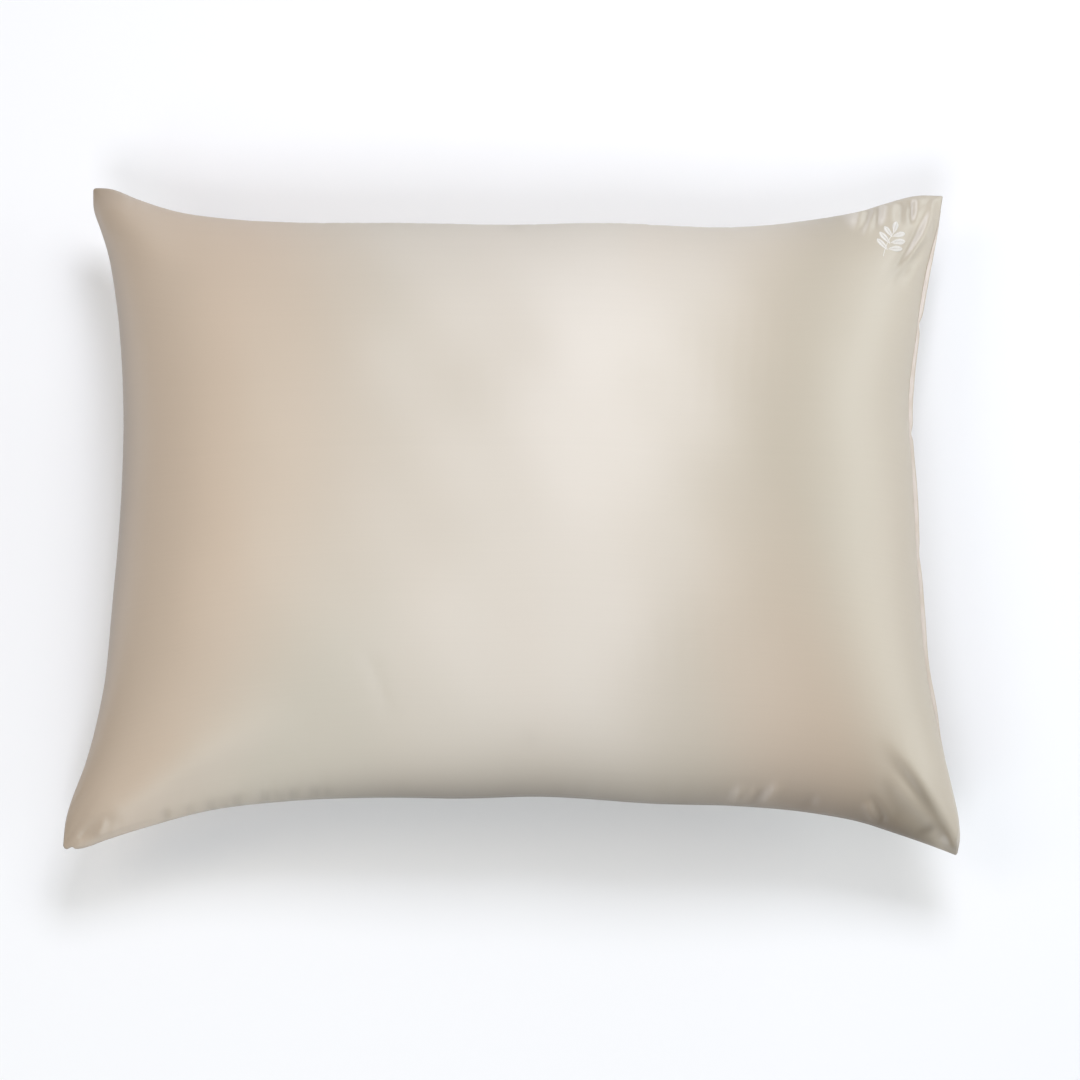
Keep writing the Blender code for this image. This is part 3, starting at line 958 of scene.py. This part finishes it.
def satin_weave_group():
    """Long floats of fine yarn along the case, with slubs, faint crossing yarns and slow clouds of tone."""
    group = bpy.data.node_groups.new("satin_weave", "ShaderNodeTree")
    for name, kind, start in (
        ("Cloth", "NodeSocketVector", (0, 0, 0)),
        ("Yarn Tone", "NodeSocketFloat", 0.02),
        ("Slub Tone", "NodeSocketFloat", 0.014),
        ("Cloud Tone", "NodeSocketFloat", 0.03),
        ("Base Roughness", "NodeSocketFloat", 0.5),
        ("Slub Roughness", "NodeSocketFloat", 0.03),
    ):
        socket = group.interface.new_socket(name, in_out="INPUT", socket_type=kind)
        socket.default_value = start
    for name in ("Tone", "Roughness", "Height", "Hue"):
        group.interface.new_socket(name, in_out="OUTPUT", socket_type="NodeSocketFloat")
    w = Wiring(group)
    given = w.node("NodeGroupInput").outputs
    result = w.node("NodeGroupOutput").inputs
    places = w.node("ShaderNodeSeparateXYZ", {0: given["Cloth"]}).outputs

    in_yarns = w.math("DIVIDE", places["Y"], YARN_PITCH)
    yarn = w.math("FLOOR", in_yarns)
    in_yarn = w.math("FRACT", in_yarns)
    round_yarn = w.math("SINE", w.math("MULTIPLY", in_yarn, math.pi))
    lag = w.math("MULTIPLY", yarn, FLOAT_LAG)
    in_float = w.math("FRACT", w.math("ADD", w.math("DIVIDE", places["X"], FLOAT_LENGTH), lag))
    float_arch = w.math("POWER", w.math("SINE", w.math("MULTIPLY", in_float, math.pi)), FLOAT_FLATNESS)
    own_tone = w.node("ShaderNodeTexWhiteNoise", {"W": yarn}, noise_dimensions="1D").outputs["Value"]

    def streaks(along, across, detail):
        """Noise with so many swings in each metre along and across the case."""
        factors = {0: given["Cloth"], 1: (along, across, 0.0)}
        stretched = w.node("ShaderNodeVectorMath", factors, operation="MULTIPLY").outputs[0]
        inputs = {"Vector": stretched, "Scale": 1.0, "Detail": detail, "Roughness": 0.5}
        return w.node("ShaderNodeTexNoise", inputs).outputs["Fac"]

    slubs = streaks(along=30.0, across=1300.0, detail=2.0)
    crossing = streaks(along=1300.0, across=30.0, detail=2.0)
    clouds = streaks(along=7.0, across=11.0, detail=3.0)
    drifts = streaks(along=9.0, across=2.5, detail=1.0)

    def swing(value, amount):
        return w.math("MULTIPLY", w.math("SUBTRACT", value, 0.5), amount)

    tone = w.math("ADD", 1.0, swing(own_tone, given["Yarn Tone"]))
    tone = w.math("ADD", tone, swing(slubs, given["Slub Tone"]))
    tone = w.math("ADD", tone, swing(crossing, given["Slub Tone"]))
    tone = w.math("ADD", tone, swing(clouds, given["Cloud Tone"]))
    w.feed(result["Tone"], tone)

    def glide(place, start, end, first, last):
        """A number that glides from one value to another while a place runs from start to end."""
        ramp = {"Value": place, "From Min": start, "From Max": end, "To Min": first, "To Max": last}
        return w.node("ShaderNodeMapRange", ramp, interpolation_type="SMOOTHSTEP").outputs["Result"]

    # Painted shade hue: warm at the left end and low down on the right, where the cloth turns from the light.
    shorter = glide(places["Y"], 0.0, SHORTER_BELOW, WARM_SHORTER_BY, 0.0)
    from_warm = glide(w.math("ADD", places["X"], shorter), WARM_UNTIL, COOL_FROM, 0.0, 1.0)
    aside = w.math("ABSOLUTE", w.math("SUBTRACT", places["X"], WARM_AGAIN_AT), 0.0)
    low_down = glide(places["Y"], 0.0, WARM_AGAIN_BELOW, 1.0, 0.0)
    again = w.math("MULTIPLY", glide(aside, 0.0, WARM_AGAIN_REACH, 1.0, 0.0), low_down)
    from_warm = w.math("MULTIPLY", from_warm, w.math("SUBTRACT", 1.0, again))
    w.feed(result["Hue"], w.math("ADD", from_warm, swing(drifts, HUE_SWING)))
    w.feed(result["Roughness"], w.math("ADD", given["Base Roughness"], swing(slubs, given["Slub Roughness"])))
    woven = w.math("MULTIPLY", round_yarn, float_arch)
    w.feed(result["Height"], w.math("ADD", woven, w.math("MULTIPLY", slubs, SLUB_HEIGHT)))
    return group


def colour_mix(w, blend, factor, first, second):
    """A colour from two others. Each of the two may be a colour or a socket."""
    mix = w.node("ShaderNodeMix", data_type="RGBA", blend_type=blend)
    w.feed(mix.inputs["Factor"], factor)
    coloured = [socket for socket in mix.inputs if socket.type == "RGBA"]
    w.feed(coloured[0], first)
    w.feed(coloured[1], second)
    return next(socket for socket in mix.outputs if socket.type == "RGBA")


def satin(name, warm, cool, weave):
    """Filament satin: long floats along the case, so its gloss is drawn out across them."""
    made = bpy.data.materials.new(name)
    made.use_nodes = True
    w = Wiring(made.node_tree)
    shader = made.node_tree.nodes["Principled BSDF"]
    cloth = w.node("ShaderNodeUVMap", uv_map="cloth").outputs["UV"]
    woven = w.node("ShaderNodeGroup", node_tree=weave)
    w.feed(woven.inputs["Cloth"], cloth)
    # Painted shade and painted highlights, read from cloth_shade, darken or lighten the base colour.
    shade = w.node("ShaderNodeAttribute", attribute_name="cloth_shade").outputs["Fac"]
    # The hue is partly painted shade, warm where the cloth turns from the light, and partly random drift.
    hue = colour_mix(w, "MIX", woven.outputs["Hue"], warm, cool)
    toned = colour_mix(w, "MULTIPLY", 1.0, hue, woven.outputs["Tone"])
    shaded = colour_mix(w, "MIX", shade, IN_SHADE, OUT_OF_SHADE)
    w.feed(shader.inputs["Base Color"], colour_mix(w, "MULTIPLY", 1.0, toned, shaded))
    w.feed(shader.inputs["Roughness"], woven.outputs["Roughness"])
    relief_inputs = {"Strength": WEAVE_BUMP, "Distance": WEAVE_DEPTH, "Height": woven.outputs["Height"]}
    bump = w.node("ShaderNodeBump", relief_inputs)
    w.feed(shader.inputs["Normal"], bump.outputs["Normal"])
    shader.inputs["IOR"].default_value = SATIN_IOR
    shader.inputs["Anisotropic"].default_value = SATIN_ANISOTROPY
    shader.inputs["Anisotropic Rotation"].default_value = SATIN_TURN
    tangent = w.node("ShaderNodeTangent", direction_type="UV_MAP", uv_map="cloth")
    w.feed(shader.inputs["Tangent"], tangent.outputs["Tangent"])
    return made


def embroidery_thread(name, colour):
    """Soft twisted thread: fine slanted ridges and a gentle sheen."""
    made = bpy.data.materials.new(name)
    made.use_nodes = True
    w = Wiring(made.node_tree)
    shader = made.node_tree.nodes["Principled BSDF"]
    place = w.node("ShaderNodeTexCoord").outputs["Object"]
    ridges = {"Vector": place, "Scale": 1100.0, "Distortion": 2.0}
    twist = w.node("ShaderNodeTexWave", ridges, bands_direction="DIAGONAL")
    patchy = w.node("ShaderNodeTexNoise", {"Vector": place, "Scale": 900.0, "Detail": 2.0})
    ramp = w.node("ShaderNodeMapRange", {"Value": patchy.outputs["Fac"], "To Min": 0.9, "To Max": 1.05})
    toned = w.node("ShaderNodeVectorMath", {0: colour[:3]}, operation="SCALE")
    w.feed(toned.inputs["Scale"], ramp.outputs["Result"])
    w.feed(shader.inputs["Base Color"], toned.outputs[0])
    bump = w.node("ShaderNodeBump", {"Strength": 0.4, "Distance": 0.05 * MM, "Height": twist.outputs["Fac"]})
    w.feed(shader.inputs["Normal"], bump.outputs["Normal"])
    shader.inputs["Roughness"].default_value = 0.55
    shader.inputs["Sheen Weight"].default_value = 0.2
    return made


# ---- The stage ----

FLOOR_REACH = 4.0
FLOOR_COLOUR = (0.88, 0.88, 0.88, 1.0)
FLOOR_ROUGHNESS = 0.9


def studio_floor():
    bm = bmesh.new()
    bmesh.ops.create_grid(bm, x_segments=1, y_segments=1, size=FLOOR_REACH)
    material = bpy.data.materials.new("pale_floor")
    material.use_nodes = True
    shader = material.node_tree.nodes["Principled BSDF"]
    shader.inputs["Base Color"].default_value = FLOOR_COLOUR
    shader.inputs["Roughness"].default_value = FLOOR_ROUGHNESS
    floor = place_piece("pale_floor", bm, material)


CAMERA_PLACE = (0.0202, -0.3179, 1.7582)
CAMERA_TILT = math.radians(10.0)
CAMERA_LENS_MM = 77.4
CAMERA_SENSOR_MM = 36.0


def photo_camera():
    data = bpy.data.cameras.new("photo_camera")
    data.lens = CAMERA_LENS_MM
    data.sensor_width = CAMERA_SENSOR_MM
    camera = bpy.data.objects.new("photo_camera", data)
    camera.location = CAMERA_PLACE
    camera.rotation_euler = (CAMERA_TILT, 0.0, 0.0)
    bpy.context.scene.collection.objects.link(camera)
    bpy.context.scene.camera = camera


SOFTBOX_DISTANCE = 2.2
SOFTBOX_SIZE = 0.7
Softbox = namedtuple("Softbox", "name azimuth_deg height_deg power colour")
SOFTBOXES = [
    Softbox("over_top", 75, 58, 17.0, (0.97, 1.0, 1.12)),
    Softbox("over_front", 262, 58, 13.0, (0.97, 1.0, 1.09)),
    Softbox("front_left", 240, 42, 4.8, (0.82, 1.02, 1.05)),
    Softbox("upper_right", 45, 58, 6.0, (0.98, 1.0, 1.02)),
    Softbox("from_left", 165, 58, 4.0, (1.10, 1.0, 0.90)),
    Softbox("far_left", 180, 42, 2.4, (1.25, 1.0, 0.75)),
    Softbox("low_right", 0, 25, 5.0, (0.97, 1.02, 0.98)),
    Softbox("side_right", 0, 10, 4.5, (0.98, 1.0, 1.0)),
    Softbox("low_corner", 45, 10, 4.5, (0.9, 1.02, 1.1)),
    Softbox("low_top", 90, 10, 3.0, (0.86, 1.0, 1.25)),
]
AIM_POINT = Vector((0.0, 0.0, 0.09))
WORLD_COLOUR = (1.0, 0.99, 0.98, 1.0)
WORLD_STRENGTH = 0.32


def studio_lights():
    for box in SOFTBOXES:
        data = bpy.data.lights.new(box.name, "AREA")
        data.shape = "SQUARE"
        data.size = SOFTBOX_SIZE
        data.energy = box.power
        data.color = box.colour
        lamp = bpy.data.objects.new(box.name, data)
        azimuth = math.radians(box.azimuth_deg)
        height = math.radians(box.height_deg)
        level = SOFTBOX_DISTANCE * math.cos(height)
        up = SOFTBOX_DISTANCE * math.sin(height)
        away = Vector((level * math.cos(azimuth), level * math.sin(azimuth), up))
        lamp.location = AIM_POINT + away
        lamp.rotation_euler = away.to_track_quat("Z", "Y").to_euler()
        bpy.context.scene.collection.objects.link(lamp)


def pale_room():
    world = bpy.data.worlds.new("pale_room")
    world.use_nodes = True
    background = world.node_tree.nodes["Background"]
    background.inputs["Color"].default_value = WORLD_COLOUR
    background.inputs["Strength"].default_value = WORLD_STRENGTH
    bpy.context.scene.world = world


def main():
    weave = satin_weave_group()
    case_satin = satin("champagne_satin", CASE_WARM, CASE_COOL, weave)
    strip_satin = satin("strip_satin", STRIP_WARM, STRIP_COOL, weave)
    thread = embroidery_thread("white_thread", THREAD_WHITE)
    case = filled_case(case_satin)
    guard_strip(strip_satin)
    leaf_sprig(case, thread)
    studio_floor()
    photo_camera()
    studio_lights()
    pale_room()
    bpy.context.scene.view_settings.view_transform = "Standard"


main()
